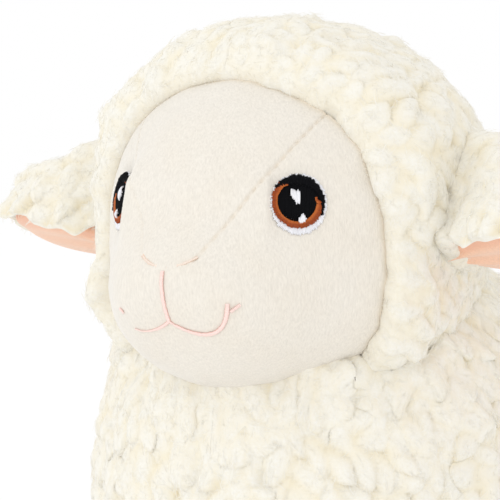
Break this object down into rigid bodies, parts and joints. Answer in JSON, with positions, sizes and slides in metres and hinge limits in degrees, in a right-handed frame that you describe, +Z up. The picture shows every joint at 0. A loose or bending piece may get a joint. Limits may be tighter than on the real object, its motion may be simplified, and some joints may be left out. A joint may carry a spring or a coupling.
{
  "type": "plush sheep",
  "caption": "Standing plush lamb: round curly-fleece body and hood, smooth plush face with stitched eyes and smile, lined flapping ears, stuffed legs and tail.",
  "frame": {"origin": "on the surface it stands on, under the middle of its overall box", "axes": "+Z up, -Y the way the sheep faces, +X its own left"},
  "size_m": [0.2026, 0.2246, 0.2498],
  "materials": {
    "wool": "long curly cream pile",
    "face_plush": "short brushed cream pile",
    "ear_plush": "short peach-pink pile",
    "fibrefill": "loose polyester fibre",
    "white_thread": "shiny embroidery thread",
    "black_thread": "shiny embroidery thread",
    "brown_thread": "shiny embroidery thread",
    "pink_thread": "matt embroidery thread"
  },
  "bodies": {
    "torso": {"body_stuffing": "fibrefill", "body_fleece_left": "wool", "body_fleece_right": "wool", "belly_panel": "wool"},
    "head": {"head_stuffing": "fibrefill", "hood_left": "wool", "hood_right": "wool", "face_forehead": "face_plush", "face_lower": "face_plush", "nose_stitching": "pink_thread", "mouth_stitching": "pink_thread", "left_eye_white": "white_thread", "left_eye_iris": "brown_thread", "left_eye_pupil": "black_thread", "left_eye_upper_glint": "white_thread", "left_eye_lower_glint": "white_thread", "right_eye_white": "white_thread", "right_eye_iris": "brown_thread", "right_eye_pupil": "black_thread", "right_eye_upper_glint": "white_thread", "right_eye_lower_glint": "white_thread"},
    "left_ear": {"left_ear_wool": "wool", "left_ear_lining": "ear_plush"},
    "right_ear": {"right_ear_wool": "wool", "right_ear_lining": "ear_plush"},
    "tail": {"tail_top": "wool", "tail_underside": "wool"},
    "front_left_leg": {"front_left_leg_sleeve": "face_plush", "front_left_sole": "face_plush", "front_left_leg_stuffing": "fibrefill"},
    "front_right_leg": {"front_right_leg_sleeve": "face_plush", "front_right_sole": "face_plush", "front_right_leg_stuffing": "fibrefill"},
    "rear_left_leg": {"rear_left_leg_sleeve": "face_plush", "rear_left_sole": "face_plush", "rear_left_leg_stuffing": "fibrefill"},
    "rear_right_leg": {"rear_right_leg_sleeve": "face_plush", "rear_right_sole": "face_plush", "rear_right_leg_stuffing": "fibrefill"}
  },
  "joints": [
    {"name": "head_turn", "type": "hinge", "parent": "torso", "child": "head", "pos_m": [0, -0.042, 0.187], "axis": [0, 0, 1], "range_deg": [-20, 20], "stiffness_Nm_per_rad": 0.3},
    {"name": "left_ear_flap", "type": "hinge", "parent": "head", "child": "left_ear", "pos_m": [0.0565, -0.045, 0.181], "axis": [0, -0.9063, 0.4226], "range_deg": [-31, 24], "stiffness_Nm_per_rad": 0.05},
    {"name": "right_ear_flap", "type": "hinge", "parent": "head", "child": "right_ear", "pos_m": [-0.0565, -0.045, 0.181], "axis": [0, 0.9063, -0.4226], "range_deg": [-31, 24], "stiffness_Nm_per_rad": 0.05},
    {"name": "tail_flap", "type": "hinge", "parent": "torso", "child": "tail", "pos_m": [0, 0.081, 0.121], "axis": [1, 0, 0], "range_deg": [-25, 25], "stiffness_Nm_per_rad": 0.05},
    {"name": "front_left_leg_swing", "type": "hinge", "parent": "torso", "child": "front_left_leg", "pos_m": [0.038, -0.045, 0.056], "axis": [1, 0, 0], "range_deg": [-12, 12], "stiffness_Nm_per_rad": 0.5},
    {"name": "front_right_leg_swing", "type": "hinge", "parent": "torso", "child": "front_right_leg", "pos_m": [-0.038, -0.045, 0.056], "axis": [1, 0, 0], "range_deg": [-12, 12], "stiffness_Nm_per_rad": 0.5},
    {"name": "rear_left_leg_swing", "type": "hinge", "parent": "torso", "child": "rear_left_leg", "pos_m": [0.038, 0.045, 0.056], "axis": [1, 0, 0], "range_deg": [-12, 12], "stiffness_Nm_per_rad": 0.5},
    {"name": "rear_right_leg_swing", "type": "hinge", "parent": "torso", "child": "rear_right_leg", "pos_m": [-0.038, 0.045, 0.056], "axis": [1, 0, 0], "range_deg": [-12, 12], "stiffness_Nm_per_rad": 0.5}
  ]
}
